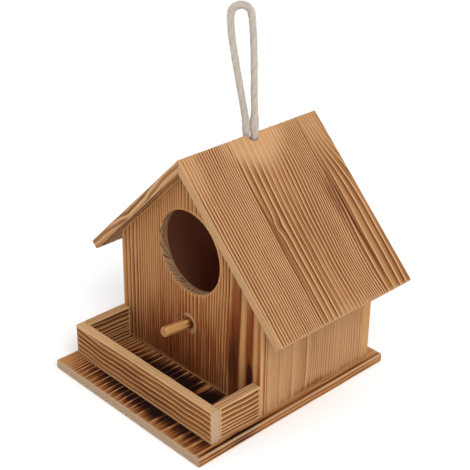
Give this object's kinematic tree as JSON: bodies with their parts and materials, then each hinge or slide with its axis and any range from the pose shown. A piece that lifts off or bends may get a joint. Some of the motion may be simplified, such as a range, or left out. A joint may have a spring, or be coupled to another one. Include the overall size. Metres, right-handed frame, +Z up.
{
  "type": "hanging bird feeder",
  "caption": "Gabled wooden bird house on a wide base board, with a railed landing tray in front, a perch under the round entrance and a rope loop through the ridge to hang it by.",
  "frame": {"origin": "middle of the base board's underside, under the middle of the roof's span and of the base board's depth", "axes": "+Z up, the entrance and the landing tray face -Y, +X to the right of someone who faces the entrance from behind it, looking along +Y"},
  "size_m": [0.215, 0.2, 0.2954],
  "materials": {
    "brushed_pine_walls": "brushed and scorched, oiled matt",
    "brushed_pine_roof": "brushed and lightly scorched, matt",
    "brushed_pine_rails": "brushed and scorched, matt",
    "charred_pine_base": "scorched nearly black in the tray, paler at its front edge",
    "perch_dowel": "lightly scorched, matt",
    "cotton_rope": "twisted undyed cotton",
    "brad_steel": "plain steel brads"
  },
  "bodies": {
    "house": {"base_board": "charred_pine_base", "front_wall": "brushed_pine_walls", "back_wall": "brushed_pine_walls", "left_wall": "brushed_pine_walls", "right_wall": "brushed_pine_walls", "left_roof_panel": "brushed_pine_roof", "right_roof_panel": "brushed_pine_roof", "tray_front_rail": "brushed_pine_rails", "tray_left_rail": "brushed_pine_rails", "tray_right_rail": "brushed_pine_rails", "perch": "perch_dowel", "cord_runs": "cotton_rope", "cord_knot": "cotton_rope", "front_wall_brads": "brad_steel", "back_wall_brads": "brad_steel", "base_wall_brads": "brad_steel", "base_tray_brads": "brad_steel", "tray_corner_brads": "brad_steel", "left_roof_brads": "brad_steel", "right_roof_brads": "brad_steel", "ridge_brads": "brad_steel"},
    "cord_loop": {"hanging_cord": "cotton_rope"}
  },
  "joints": [
    {"name": "cord_loop_flop", "type": "hinge", "parent": "house", "child": "cord_loop", "pos_m": [-0.0014, 0.0302, 0.198], "axis": [0.6428, 0.766, 0], "range_deg": [-90, 90]}
  ]
}
